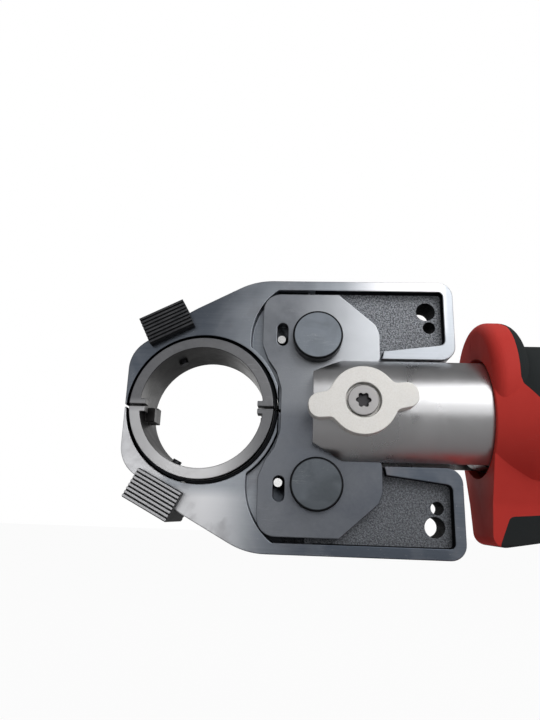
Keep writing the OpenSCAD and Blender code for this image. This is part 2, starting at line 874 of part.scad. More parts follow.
module trigger() {
    color([0.1, 0.1, 0.11]) slab(-trigger_half_w, trigger_half_w) polygon(rounded([
        [grip_x - 8, trigger_top, 4], [grip_x - 6, (trigger_top + trigger_low) / 2, 14], [grip_x - 10, trigger_low, 3],
        [grip_x + 6, trigger_low, 1], [grip_x + 6, trigger_top, 1]
    ]));
}

module trigger_switch() {
    half_w = grip_half_w - cavity_t - gap - 3;
    color([0.16, 0.16, 0.18]) {
        translate([grip_x + 16, -half_w, trigger_low + 2]) cube([13, 2 * half_w, 28]);
        translate([grip_x + 17, -half_w - 3, trigger_low + 12]) cube([7, 2 * half_w + 6, 8]);
        rod_x(grip_x + 14.5, grip_x + 16.5, 3, 0, trigger_low + 17);
    }
}

module release_button() {
    color([0.1, 0.1, 0.11]) union() {
        rod_y(button_x, button_z, button_r, 0.6 - barrel_r, -33);
        rod_y(button_x, button_z, 3, -34, -29);
    }
}

module control_board() {
    half_w = chin_half_w - cavity_t - gap;
    color("darkgreen") translate([front_x + 19, -half_w, -chin_low + cavity_t + 8.4])
        cube([12, 2 * half_w, 1.6]);
}

module terminal_block() {
    color([0.1, 0.1, 0.1]) difference() {
        translate([grip_x - 5.7, -13.7, foot_low + 0.4]) cube([31.4, 27.4, foot_h - 1]);
        for (y = [-9, -3, 3, 9]) translate([grip_x - 2, y - 0.8, foot_low]) cube([20, 1.6, 8]);
    }
}

module battery_case() {
    wall = 2.4;
    color([0.13, 0.13, 0.14]) difference() {
        translate([0, 0, battery_low]) linear_extrude(battery_h - 8) battery_outline(0);
        translate([0, 0, battery_low + wall]) linear_extrude(battery_h) battery_outline(wall);
        for (side = [-1, 1]) latch_space(side);
        rod_x(battery_x - 1, battery_x + wall + 1, 4 + gap, 0, battery_top - 18);
    }
}

module battery_outline(t) {
    polygon(rounded_box([battery_x + t, t - battery_half_w], [battery_x + battery_len - t, battery_half_w - t], 9 - t));
}

module battery_lid() {
    wall = 2.4;
    color([0.62, 0.09, 0.09]) union() {
        difference() {
            translate([0, 0, battery_top - 7.98]) linear_extrude(7.98) battery_outline(0);
            translate([0, 0, battery_top - 8.5]) linear_extrude(8.5 - wall) battery_outline(wall);
        }
        for (s = [-1, 1]) bar(battery_x + 24, battery_x + battery_len - 4)
            translate([s * 25.5, battery_top]) translate([0, gap]) rail_shape(0);
    }
}

latch_x = battery_x + 16;
latch_z = battery_top - 24;

module latch_space(side) {
    translate([latch_x - gap, side * (battery_half_w + 1) - 4, latch_z - gap]) cube([24 + 2 * gap, 8, 11 + 2 * gap]);
}

module latch_button(side) {
    thick = 2.6;
    proud = 0.8;
    y0 = side > 0 ? battery_half_w + proud - thick : -battery_half_w - proud;
    color([0.07, 0.07, 0.08]) {
        translate([latch_x, y0, latch_z]) cube([24, thick, 11]);
        for (i = [0:4]) translate([latch_x + 3 + i * 4, side > 0 ? y0 + thick - 0.02 : y0 - 0.78, latch_z + 1])
            cube([1.6, 0.8, 9]);
    }
}

module latch_button_left() {
    latch_button(-1);
}

module latch_button_right() {
    latch_button(1);
}

module gauge_button() {
    color("gainsboro") rod_x(battery_x - 0.8, battery_x + 3, 4, 0, battery_top - 18);
}

cell_r = 10.5;
cell_pitch = 22;
cell_x = battery_x + battery_len / 2 - 2 * cell_pitch;
cell_z = battery_low + 2.4 + cell_r + 0.6;

module cells() {
    color("teal") for (i = [0:4], j = [0:1])
        rod_y(cell_x + i * cell_pitch, cell_z + j * (cell_pitch - 0.4), cell_r, -34.8, 34.8);
}

module cell_holders() {
    color("black") for (side = [-1, 1]) difference() {
        translate([cell_x - cell_pitch / 2 - 3, side * 25 - 3, battery_low + 2.42])
            cube([5 * cell_pitch + 6, 6, 2 * cell_pitch + 1]);
        for (i = [0:4], j = [0:1])
            rod_y(cell_x + i * cell_pitch, cell_z + j * (cell_pitch - 0.4), cell_r + 0.1, -36, 36);
    }
}

module battery_board() {
    color("darkgreen") translate([cell_x - 8, -24, battery_low + 2.42 + 2 * cell_pitch + 1.02]) cube([104, 48, 1.6]);
}

jaw_arm_upper();
jaw_arm_lower();
die_half_upper();
die_half_lower();
die_release_upper();
die_release_lower();
die_pin_upper();
die_pin_lower();
side_plate_front();
side_plate_rear();
jaw_pin_upper();
jaw_pin_lower();
jaw_pin_washers();
jaw_pin_rings();
limit_pin_upper();
limit_pin_lower();
jaw_spring();
yoke();
pin_collar();
locking_pin();
wing_knob();
knob_screw();
ram_fork();
roller_upper();
roller_lower();
roller_pins();
piston_rod();
piston();
piston_seal();
return_spring();
cylinder_tube();
cylinder_cap();
swivel_ring();
pump_block();
pump_plunger();
pump_shaft();
reservoir();
gearbox();
motor_can();
motor_rotor();
motor_fan();
housing_left();
housing_right();
top_overmould();
chin_bumper();
grip_sleeve();
housing_screws();
trigger();
trigger_switch();
release_button();
control_board();
terminal_block();
battery_case();
battery_lid();
latch_button_left();
latch_button_right();
gauge_button();
cells();
cell_holders();
battery_board();
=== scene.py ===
import math

import bmesh
import bpy
from mathutils import Matrix, Vector


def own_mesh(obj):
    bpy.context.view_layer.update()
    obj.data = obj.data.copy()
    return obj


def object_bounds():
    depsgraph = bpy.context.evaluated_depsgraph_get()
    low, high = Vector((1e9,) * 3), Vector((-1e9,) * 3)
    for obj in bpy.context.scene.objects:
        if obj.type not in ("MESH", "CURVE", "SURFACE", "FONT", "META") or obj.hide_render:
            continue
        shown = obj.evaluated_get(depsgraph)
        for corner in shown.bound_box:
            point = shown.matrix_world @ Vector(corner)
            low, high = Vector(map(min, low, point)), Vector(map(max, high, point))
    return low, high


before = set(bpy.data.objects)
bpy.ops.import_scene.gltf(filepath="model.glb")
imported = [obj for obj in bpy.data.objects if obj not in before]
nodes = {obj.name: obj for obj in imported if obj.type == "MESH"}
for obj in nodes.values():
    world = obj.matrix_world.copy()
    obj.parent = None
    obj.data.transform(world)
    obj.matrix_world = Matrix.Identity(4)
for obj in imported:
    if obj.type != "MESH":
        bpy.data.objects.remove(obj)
cadLow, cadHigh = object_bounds()
scene = bpy.context.scene
print("frame loaded with", len(nodes), "nodes")


# camera, solved from the outlines in the photograph
cameraFit = {
    "place": (0.05199, -0.30884, -0.05469),
    "right": (0.99840533, 0.04623645, 0.03238806),
    "up": (-0.01881567, -0.26836709, 0.96313295),
    "back": (0.05322374, -0.96220647, -0.26706917),
    "lens": 28.012, "sensor": 36, "near": 0.01, "far": 50,
}


def placeCamera():
    data = bpy.data.cameras.new("viewCamera")
    data.sensor_width = cameraFit["sensor"]
    data.lens = cameraFit["lens"]
    data.clip_start = cameraFit["near"]
    data.clip_end = cameraFit["far"]
    camera = bpy.data.objects.new("viewCamera", data)
    turn = Matrix((cameraFit["right"], cameraFit["up"], cameraFit["back"])).transposed()
    camera.matrix_world = Matrix.Translation(cameraFit["place"]) @ turn.to_4x4()
    scene.collection.objects.link(camera)
    scene.camera = camera


placeCamera()
print("camera placed")


# small helpers for shader nodes
def put(tree, kind, values=None, **settings):
    node = tree.nodes.new(kind)
    for key, value in settings.items():
        setattr(node, key, value)
    for key, value in (values or {}).items():
        if isinstance(value, bpy.types.NodeSocket):
            tree.links.new(value, node.inputs[key])
        else:
            node.inputs[key].default_value = value
    return node


def maths(tree, operation, first, second=0.0, third=0.0):
    node = put(tree, "ShaderNodeMath", {0: first, 1: second, 2: third}, operation=operation)
    return node.outputs[0]


def remap(tree, value, fromLow, fromHigh, toLow=0.0, toHigh=1.0, smooth=False):
    node = put(tree, "ShaderNodeMapRange", {0: value, 1: fromLow, 2: fromHigh, 3: toLow, 4: toHigh})
    if smooth:
        node.interpolation_type = "SMOOTHSTEP"
    return node.outputs[0]


# places of the colour sockets on a Mix node
mixShare, mixFirst, mixSecond, mixResult = 0, 6, 7, 2


def mixTint(tree, share, first, second):
    node = put(tree, "ShaderNodeMix", {mixShare: share}, data_type="RGBA")
    for index, value in ((mixFirst, first), (mixSecond, second)):
        if isinstance(value, bpy.types.NodeSocket):
            tree.links.new(value, node.inputs[index])
        else:
            node.inputs[index].default_value = (*value, 1)
    return node.outputs[mixResult]


def splitAxes(tree, vector):
    return put(tree, "ShaderNodeSeparateXYZ", {0: vector}).outputs


def noise(tree, vector, scale, detail=2.0, roughness=0.5, distortion=0.0):
    node = put(tree, "ShaderNodeTexNoise", {
        "Vector": vector, "Scale": scale, "Detail": detail, "Roughness": roughness, "Distortion": distortion,
    })
    return node.outputs["Fac"]


number, arrow = "NodeSocketFloat", "NodeSocketVector"


def newGroup(name, inputs, outputs):
    tree = bpy.data.node_groups.new(name, "ShaderNodeTree")
    for label, kind, value in inputs:
        socket = tree.interface.new_socket(label, in_out="INPUT", socket_type=kind)
        if value is not None:
            socket.default_value = value
    for label in outputs:
        tree.interface.new_socket(label, in_out="OUTPUT", socket_type=number)
    return tree, put(tree, "NodeGroupInput").outputs, put(tree, "NodeGroupOutput").inputs


# soft clouds, fine grain and thin scratches
handling = {
    "cloud": {"detail": 4.0, "roughness": 0.55, "distortion": 0.6}, "cloudRange": (0.32, 0.68),
    "grain": {"detail": 3.0, "roughness": 0.7},
    "streak": {"detail": 2.0, "distortion": 1.2}, "turns": (0.5, 2.1), "stretch": (1.0, 1.0, 14.0),
    "lineLevel": 0.63, "lineWidth": 0.012, "brokenRange": (0.5, 0.62),
}


def buildMarks():
    tree, given, out = newGroup(
        "handlingMarks",
        [("Vector", arrow, None), ("Cloud Scale", number, 30.0), ("Grain Scale", number, 900.0),
         ("Scratch Scale", number, 120.0)],
        ["Cloud", "Grain", "Scratch"],
    )
    cloud = noise(tree, given["Vector"], given["Cloud Scale"], **handling["cloud"])
    tree.links.new(remap(tree, cloud, *handling["cloudRange"], smooth=True), out["Cloud"])
    grain = noise(tree, given["Vector"], given["Grain Scale"], **handling["grain"])
    tree.links.new(grain, out["Grain"])
    lines = 0.0
    for turn in handling["turns"]:
        turned = put(tree, "ShaderNodeMapping", {
            "Vector": given["Vector"], "Rotation": (0.0, turn, 0.0), "Scale": handling["stretch"],
        })
        streak = noise(tree, turned.outputs[0], given["Scratch Scale"], **handling["streak"])
        away = maths(tree, "ABSOLUTE", maths(tree, "SUBTRACT", streak, handling["lineLevel"]))
        thin = remap(tree, away, 0.0, handling["lineWidth"], 1.0, 0.0)
        lines = maths(tree, "MAXIMUM", lines, thin)
    kept = remap(tree, noise(tree, given["Vector"], given["Cloud Scale"]), *handling["brokenRange"])
    tree.links.new(maths(tree, "MULTIPLY", lines, kept), out["Scratch"])
    return tree


# long fine lines left by turning or grinding
grinding = {"detail": 5.0, "roughness": 0.75}


def buildBrush():
    tree, given, out = newGroup(
        "toolLines",
        [("Vector", arrow, None), ("Stretch", arrow, (1.0, 20.0, 20.0)), ("Scale", number, 60.0)],
        ["Lines"],
    )
    moved = put(tree, "ShaderNodeVectorMath", {0: given["Vector"], 1: given["Stretch"]}, operation="MULTIPLY")
    tree.links.new(noise(tree, moved.outputs[0], given["Scale"], **grinding), out["Lines"])
    return tree


# grains of a raw casting
casting = {"grain": {"detail": 4.0, "roughness": 0.8}, "speckleRange": (0.42, 0.62)}


def buildCast():
    tree, given, out = newGroup(
        "castGrain", [("Vector", arrow, None), ("Scale", number, 900.0)], ["Height", "Speckle"]
    )
    cells = put(tree, "ShaderNodeTexVoronoi", {"Vector": given["Vector"], "Scale": given["Scale"]})
    rough = noise(tree, given["Vector"], given["Scale"], **casting["grain"])
    tree.links.new(maths(tree, "ADD", cells.outputs["Distance"], rough), out["Height"])
    tree.links.new(remap(tree, rough, *casting["speckleRange"]), out["Speckle"])
    return tree


# 1 inside a box that is mirrored in y and z, 0 outside
def buildZone():
    tree, given, out = newGroup(
        "mirroredZone",
        [("Vector", arrow, None), ("Low", arrow, None), ("High", arrow, None), ("Soft", number, 0.0005)],
        ["Mask"],
    )
    place, lowest, highest = [splitAxes(tree, given[key]) for key in ("Vector", "Low", "High")]
    mask = 1.0
    for axis in range(3):
        value = place[axis] if axis == 0 else maths(tree, "ABSOLUTE", place[axis])
        for sign, edge in ((1.0, lowest[axis]), (-1.0, highest[axis])):
            past = maths(tree, "MULTIPLY", maths(tree, "SUBTRACT", value, edge), sign)
            inside = maths(tree, "ADD", maths(tree, "DIVIDE", past, given["Soft"]), 0.5)
            inside = put(tree, "ShaderNodeClamp", {0: inside}).outputs[0]
            mask = maths(tree, "MULTIPLY", mask, inside)
    tree.links.new(mask, out["Mask"])
    return tree


# distance from an axis along Y, mirrored in z
def buildRadius():
    tree, given, out = newGroup(
        "mirroredRadius", [("Vector", arrow, None), ("X", number, 0.0), ("Z", number, 0.0)], ["Radius"]
    )
    x, _, z = splitAxes(tree, given["Vector"])
    dx = maths(tree, "SUBTRACT", x, given["X"])
    dz = maths(tree, "SUBTRACT", maths(tree, "ABSOLUTE", z), given["Z"])
    square = maths(tree, "ADD", maths(tree, "MULTIPLY", dx, dx), maths(tree, "MULTIPLY", dz, dz))
    tree.links.new(maths(tree, "SQRT", square), out["Radius"])
    return tree


groups = {
    "marks": buildMarks(), "brush": buildBrush(), "cast": buildCast(), "zone": buildZone(),
    "radius": buildRadius(),
}
print("node groups built")


def startMaterial(name, colour, metallic, roughness):
    material = bpy.data.materials.new(name)
    material.use_nodes = True
    material.diffuse_color = (*colour, 1)
    tree = material.node_tree
    surface = tree.nodes["Principled BSDF"].inputs
    surface["Base Color"].default_value = (*colour, 1)
    surface["Metallic"].default_value = metallic
    surface["Roughness"].default_value = roughness
    return material, tree, surface


def readPlace(tree):
    source = put(tree, "ShaderNodeTexCoord").outputs
    return source["Object"], source["Normal"]


def useGroup(tree, name, place, values):
    return put(tree, "ShaderNodeGroup", {"Vector": place, **values}, node_tree=groups[name]).outputs


def bumpFrom(tree, surface, height, distance):
    node = put(tree, "ShaderNodeBump", {"Height": height, "Distance": distance, "Strength": 1.0})
    tree.links.new(node.outputs[0], surface["Normal"])


sideLimit = 0.6  # a face whose normal has less y than this counts as a side
splitBlend = 0.004  # half height of the blend between the upper and the lower half


def sideFacing(tree, normal):
    return maths(tree, "LESS_THAN", maths(tree, "ABSOLUTE", splitAxes(tree, normal)[1]), sideLimit)


# painted light and shade: share of the light tint, from the values at the upper and the lower half of a piece
def halves(tree, place, upperShare, lowerShare):
    upper = remap(tree, splitAxes(tree, place)[2], -splitBlend, splitBlend)
    above = maths(tree, "MULTIPLY", upperShare, upper)
    return maths(tree, "MULTIPLY_ADD", lowerShare, maths(tree, "SUBTRACT", 1.0, upper), above)


def rampSum(tree, x, ramps):
    total = 0.0
    for ramp in ramps:
        total = maths(tree, "ADD", total, remap(tree, x, *ramp, smooth=True))
    return total


# both arms: painted light and shade along x, with painted highlights at the upper rear and the lower left, and
# a rough cast pocket floor
armSteel = {
    "dark": (0.085, 0.10, 0.125), "light": (0.50, 0.53, 0.57), "metallic": 0.85, "roughness": 0.36,
    # wall is the colour of the painted shade on walls, gaps and the line round the pocket floor
    "floorDark": (0.075, 0.082, 0.095), "floorLight": (0.60, 0.63, 0.68), "wall": (0.010, 0.011, 0.014),
    "scratch": (0.75, 0.76, 0.78), "highlight": (0.86, 0.86, 0.88), "stain": (0.17, 0.155, 0.165),
    "marks": {"Cloud Scale": 22.0, "Grain Scale": 1500.0, "Scratch Scale": 70.0},
    "spots": {"Cloud Scale": 75.0, "Grain Scale": 500.0, "Scratch Scale": 40.0},
    "brush": {"Stretch": (1.0, 30.0, 30.0), "Scale": 45.0},
    "cast": {"Scale": 1150.0},
    # painted light, shade and highlights: sums of ramps along x: from, to, first share, last share
    "upper": [(-0.01, 0.04, 0.15, 0.42), (0.045, 0.10, 0.0, 0.50)],
    "lower": [(-0.045, -0.01, 0.48, 0.80), (0.005, 0.055, 0.0, -0.72)],
    "upperHighlight": [(0.070, 0.110, 0.0, 1.0)],
    "lowerHighlight": [(-0.060, -0.035, 0.0, 0.8), (0.0, 0.035, 0.0, -0.8)],
    # how a mark becomes a share: from, to, first share, last share
    "cloudShare": (0.0, 1.0, -0.12, 0.12), "lineShare": (0.3, 0.7, -0.04, 0.04),
    "stainShare": (0.35, 0.9, 0.0, 0.38), "nickShare": (0.67, 0.73, 0.0, 0.2), "scratchShare": 0.35,
    "slotShade": (0.2, 1.0, 1.0, 0.45), "cornerShade": 0.85, "lowerFloorShade": 0.60,
    "borderFade": (0.055, 0.065), "boreRadius": 0.0432,
    "roughRange": (0.32, 0.44), "floorRough": 0.25, "darkRough": 0.85, "floorMetal": 0.15,
    "faceGrain": 0.05, "bump": 0.00025,
    # low and high corners in metres, mirrored in y and z, and the softness of the edge
    "pocketFloor": ((0.045, -1.0, 0.030), (0.1325, 0.0102, 0.0700), 0.0004),
    "pocketCore": ((0.045, -1.0, 0.0300), (0.1300, 0.0102, 0.0676), 0.0005),
    "pocketWall": ((0.060, -1.0, 0.0302), (0.1318, 0.0152, 0.0688), 0.0004),
    "slotFloor": ((0.0380, -1.0, 0.0330), (0.0462, 0.0120, 0.0475), 0.0003),
    "cornerGap": ((0.0300, -1.0, 0.0600), (0.0560, 0.0120, 0.0680), 0.0004),
    "outerBand": ((-0.0700, -1.0, 0.0440), (0.1300, 1.0, 0.0760), 0.0060),
    "leftBand": ((-0.0700, -1.0, -0.0100), (-0.0180, 1.0, 0.0760), 0.0060),
}


def zoneMask(tree, place, key):
    low, high, soft = armSteel[key]
    return useGroup(tree, "zone", place, {"Low": low, "High": high, "Soft": soft})[0]


# outer face: painted light and shade by ramps, tone by clouds, then a painted highlight, stains, nicks and
# scratches
def armFace(tree, place, x, marks, spots):
    brush = useGroup(tree, "brush", place, armSteel["brush"])
    share = halves(tree, place, rampSum(tree, x, armSteel["upper"]), rampSum(tree, x, armSteel["lower"]))
    share = maths(tree, "ADD", share, remap(tree, marks["Cloud"], *armSteel["cloudShare"]))
    share = maths(tree, "ADD", share, remap(tree, brush["Lines"], *armSteel["lineShare"]))
    face = mixTint(tree, share, armSteel["dark"], armSteel["light"])
    highlightZone = maths(tree, "MAXIMUM", zoneMask(tree, place, "outerBand"), zoneMask(tree, place, "leftBand"))
    paintedHighlight = halves(tree, place, rampSum(tree, x, armSteel["upperHighlight"]),
                    rampSum(tree, x, armSteel["lowerHighlight"]))
    face = mixTint(tree, maths(tree, "MULTIPLY", paintedHighlight, highlightZone), face, armSteel["highlight"])
    stained = maths(tree, "MULTIPLY", spots["Cloud"], marks["Cloud"])
    face = mixTint(tree, remap(tree, stained, *armSteel["stainShare"]), face, armSteel["stain"])
    face = mixTint(tree, remap(tree, spots["Grain"], *armSteel["nickShare"]), face, armSteel["scratch"])
    scratched = maths(tree, "MULTIPLY", marks["Scratch"], armSteel["scratchShare"])
    return mixTint(tree, scratched, face, armSteel["scratch"])


# painted shade: the bore wall, the slot floor, the corner gaps and a shadow line round the pocket floor; the
# pocket walls are part black finish, part painted shade
def armPaintedShade(tree, place, x, sides, spots, floorZone):
    nearDie = useGroup(tree, "radius", place, {"X": 0.0, "Z": 0.0})[0]
    dark = maths(tree, "MULTIPLY", maths(tree, "LESS_THAN", nearDie, armSteel["boreRadius"]), sides)
    border = maths(tree, "SUBTRACT", floorZone, zoneMask(tree, place, "pocketCore"))
    for mask, share in (
        (zoneMask(tree, place, "pocketWall"), sides),
        (zoneMask(tree, place, "slotFloor"), remap(tree, spots["Cloud"], *armSteel["slotShade"])),
        (zoneMask(tree, place, "cornerGap"), armSteel["cornerShade"]),
        (border, remap(tree, x, *armSteel["borderFade"])),
    ):
        dark = maths(tree, "MAXIMUM", dark, maths(tree, "MULTIPLY", mask, share))
    return dark


def buildArmSteel():
    material, tree, surface = startMaterial(
        "burnishedArmSteel", armSteel["dark"], armSteel["metallic"], armSteel["roughness"]
    )
    place, normal = readPlace(tree)
    x = splitAxes(tree, place)[0]
    marks = useGroup(tree, "marks", place, armSteel["marks"])
    spots = useGroup(tree, "marks", place, armSteel["spots"])
    cast = useGroup(tree, "cast", place, armSteel["cast"])
    floorZone = zoneMask(tree, place, "pocketFloor")
    dark = armPaintedShade(tree, place, x, sideFacing(tree, normal), spots, floorZone)
    grain = mixTint(tree, cast["Speckle"], armSteel["floorDark"], armSteel["floorLight"])
    grain = mixTint(tree, halves(tree, place, 0.0, armSteel["lowerFloorShade"]), grain, armSteel["floorDark"])
    tint = mixTint(tree, floorZone, armFace(tree, place, x, marks, spots), grain)
    tree.links.new(mixTint(tree, dark, tint, armSteel["wall"]), surface["Base Color"])
    rough = remap(tree, marks["Cloud"], 0.0, 1.0, *armSteel["roughRange"])
    rough = maths(tree, "MULTIPLY_ADD", floorZone, armSteel["floorRough"], rough)
    rough = maths(tree, "MAXIMUM", rough, maths(tree, "MULTIPLY", dark, armSteel["darkRough"]))
    tree.links.new(rough, surface["Roughness"])
    metal = remap(tree, floorZone, 0.0, 1.0, armSteel["metallic"], armSteel["floorMetal"])
    tree.links.new(maths(tree, "MAXIMUM", metal, dark), surface["Metallic"])
    height = maths(tree, "MULTIPLY", cast["Height"], floorZone)
    height = maths(tree, "MULTIPLY_ADD", marks["Grain"], armSteel["faceGrain"], height)
    bumpFrom(tree, surface, height, armSteel["bump"])
    return material


# what all the other steels share
steelWear = {
    "grainScale": 1800.0, "scratchScale": 80.0, "scratchTint": (0.7, 0.7, 0.7), "lineRange": (0.35, 0.65),
    "roughLow": -0.05, "roughHigh": 0.07, "lineRough": (0.3, 0.7, -0.04, 0.04), "grainHeight": 0.4,
    "edge": 0.0002,
}


def buildSteel(name, colour, light, roughness, metallic=0.85, cloud=0.35, stretch=(1.0, 1.0, 1.0),
               lineScale=300.0, line=0.05, bump=0.00003, scratch=0.15, cloudScale=35.0, shades=None, wall=None,
               rim=None, speckle=None, patch=None):
    material, tree, surface = startMaterial(name, colour, metallic, roughness)
    place, normal = readPlace(tree)
    marks = useGroup(tree, "marks", place, {
        "Cloud Scale": cloudScale, "Grain Scale": steelWear["grainScale"],
        "Scratch Scale": steelWear["scratchScale"],
    })
    brush = useGroup(tree, "brush", place, {"Stretch": stretch, "Scale": lineScale})
    share = maths(tree, "MULTIPLY", marks["Cloud"], cloud)
    # painted light and shade: ramps along x, one for the upper and one for the lower half
    if shades:
        x = splitAxes(tree, place)[0]
        above, below = rampSum(tree, x, shades["upper"]), rampSum(tree, x, shades["lower"])
        share = maths(tree, "ADD", share, halves(tree, place, above, below))
    tint = mixTint(tree, share, colour, light)
    tint = mixTint(tree, remap(tree, brush["Lines"], *steelWear["lineRange"], 0.0, line), tint, light)
    tint = mixTint(tree, maths(tree, "MULTIPLY", marks["Scratch"], scratch), tint, steelWear["scratchTint"])
    if speckle:
        cast = useGroup(tree, "cast", place, {"Scale": speckle["scale"]})
        spotted = remap(tree, cast["Speckle"], 0.0, 1.0, 0.0, speckle["share"])
        tint = mixTint(tree, spotted, tint, speckle["tint"])
    if rim:
        away = useGroup(tree, "radius", place, {"X": rim["x"], "Z": rim["z"]})[0]
        tint = mixTint(tree, remap(tree, away, rim["from"], rim["from"] + steelWear["edge"]), tint, rim["tint"])
    if wall:
        tint = mixTint(tree, sideFacing(tree, normal), tint, wall)
    if patch:
        corners = {"Low": patch["low"], "High": patch["high"], "Soft": steelWear["edge"]}
        tint = mixTint(tree, useGroup(tree, "zone", place, corners)[0], tint, patch["tint"])
    tree.links.new(tint, surface["Base Color"])
    rough = remap(tree, marks["Cloud"], 0.0, 1.0, roughness + steelWear["roughLow"],
                  roughness + steelWear["roughHigh"])
    rough = maths(tree, "ADD", rough, remap(tree, brush["Lines"], *steelWear["lineRough"]))
    tree.links.new(rough, surface["Roughness"])
    height = maths(tree, "MULTIPLY_ADD", marks["Grain"], steelWear["grainHeight"], brush["Lines"])
    bumpFrom(tree, surface, height, bump)
    return material


# what all the mouldings share
mouldingWear = {
    "marks": {"Cloud Scale": 24.0, "Grain Scale": 900.0, "Scratch Scale": 60.0},
    "cloudShare": 0.35, "scratchTint": (0.6, 0.5, 0.5), "roughLow": -0.05, "roughHigh": 0.06,
}


def buildPlastic(name, colour, shade, roughness, bump=0.00004, specular=0.5, scratch=0.12):
    material, tree, surface = startMaterial(name, colour, 0.0, roughness)
    place = readPlace(tree)[0]
    marks = useGroup(tree, "marks", place, mouldingWear["marks"])
    tint = mixTint(tree, maths(tree, "MULTIPLY", marks["Cloud"], mouldingWear["cloudShare"]), colour, shade)
    tint = mixTint(tree, maths(tree, "MULTIPLY", marks["Scratch"], scratch), tint, mouldingWear["scratchTint"])
    tree.links.new(tint, surface["Base Color"])
    rough = remap(tree, marks["Cloud"], 0.0, 1.0, roughness + mouldingWear["roughLow"],
                  roughness + mouldingWear["roughHigh"])
    tree.links.new(rough, surface["Roughness"])
    surface["Specular IOR Level"].default_value = specular
    bumpFrom(tree, surface, marks["Grain"], bump)
    return material


# shades are painted light and shade: ramps along x: from, to, and the share of the light tint at both ends
steels = {
    "plate": {
        "name": "sidePlateSteel", "colour": (0.085, 0.095, 0.115), "light": (0.55, 0.57, 0.60),
        "roughness": 0.36, "cloud": 0.12,
        # painted highlight towards the rear of the upper plate, the lower plate dark
        "shades": {"upper": [(0.045, 0.090, 0.22, 0.95)], "lower": [(0.03, 0.09, 0.10, 0.02)]},
    },
    "pin": {
        "name": "pinHeadSteel", "colour": (0.075, 0.085, 0.095), "light": (0.27, 0.30, 0.34),
        "roughness": 0.38, "cloud": 0.30, "cloudScale": 60.0, "scratch": 0.30,
        # painted light: the upper pin head lighter than the lower
        "shades": {"upper": [(0.0, 0.1, 0.45, 0.45)], "lower": [(0.0, 0.1, 0.0, 0.0)]},
        "wall": (0.012, 0.013, 0.015),
        "rim": {"x": 0.0614, "z": 0.0389, "from": 0.0122, "tint": (0.010, 0.011, 0.013)},
    },
    "die": {
        "name": "dieSteel", "colour": (0.075, 0.077, 0.085), "light": (0.72, 0.72, 0.73),
        "roughness": 0.40, "cloud": 0.08,
        # painted light: the lower ring bright towards its lower left, the upper ring dark
        "shades": {
            "upper": [(-0.04, 0.04, 0.10, 0.12)],
            "lower": [(-0.035, -0.008, 0.62, 0.98), (0.0, 0.036, 0.0, -0.88)],
        },
        "wall": (0.024, 0.023, 0.023),
        # painted shade on the die beyond its face radius, where the seat gap lies in shadow
        "rim": {"x": 0.0, "z": -0.0006, "from": 0.0387, "tint": (0.008, 0.009, 0.011)},
        # the key on the lower half
        "patch": {"low": (-0.0345, -0.001, -0.001), "high": (-0.0265, 0.0078, 0.0078),
                  "tint": (0.022, 0.021, 0.021)},
    },
    "blackBlock": {
        "name": "blackedSteel", "colour": (0.014, 0.016, 0.020), "light": (0.62, 0.62, 0.64),
        "roughness": 0.45, "metallic": 0.4, "cloud": 0.05,
        # painted light: the lower block lit grey, the upper block left black
        "shades": {"upper": [(-0.1, 0.1, 0.01, 0.01)], "lower": [(-0.1, 0.1, 1.0, 1.0)]},
        "wall": (0.008, 0.009, 0.011),
        # the grooves between the ribs: black, without the painted light on the ribs
        "patch": {"low": (-0.1, -0.001, -0.001), "high": (0.1, 0.0206, 0.1), "tint": (0.010, 0.011, 0.013)},
    },
    "yoke": {
        "name": "turnedYokeSteel", "colour": (0.54, 0.54, 0.55), "light": (0.66, 0.66, 0.67),
        "roughness": 0.30, "metallic": 1.0, "stretch": (8.0, 1.0, 1.0), "lineScale": 12.0, "line": 0.10,
        "bump": 0.0, "scratch": 0.0,
    },
    "knob": {
        "name": "castKnobSteel", "colour": (0.93, 0.91, 0.87), "light": (1.0, 0.99, 0.97),
        "roughness": 0.50, "metallic": 0.45, "cloud": 0.5, "bump": 0.00006,
        "speckle": {"scale": 1400.0, "share": 0.20, "tint": (0.66, 0.61, 0.55)},
    },
    "knobScrew": {
        "name": "knobScrewSteel", "colour": (0.42, 0.41, 0.41), "light": (0.52, 0.51, 0.51),
        "roughness": 0.42, "metallic": 0.8, "wall": (0.030, 0.030, 0.032),
        # painted shade in the socket of the screw's head
        "patch": {"low": (0.0790, -0.001, -0.001), "high": (0.0866, 0.0428, 0.0038),
                  "tint": (0.060, 0.058, 0.062)},
    },
    "dark": {
        "name": "oiledSteel", "colour": (0.030, 0.032, 0.036), "light": (0.10, 0.10, 0.11),
        "roughness": 0.40, "metallic": 0.6,
    },
    "bright": {
        "name": "brightPinSteel", "colour": (0.72, 0.72, 0.72), "light": (0.85, 0.85, 0.85),
        "roughness": 0.25, "metallic": 1.0,
    },
    "grey": {
        "name": "plainSteel", "colour": (0.35, 0.35, 0.36), "light": (0.5, 0.5, 0.5),
        "roughness": 0.36, "metallic": 0.95,
    },
    "brass": {
        "name": "bearingBronze", "colour": (0.50, 0.36, 0.16), "light": (0.65, 0.5, 0.28),
        "roughness": 0.35, "metallic": 1.0,
    },
}

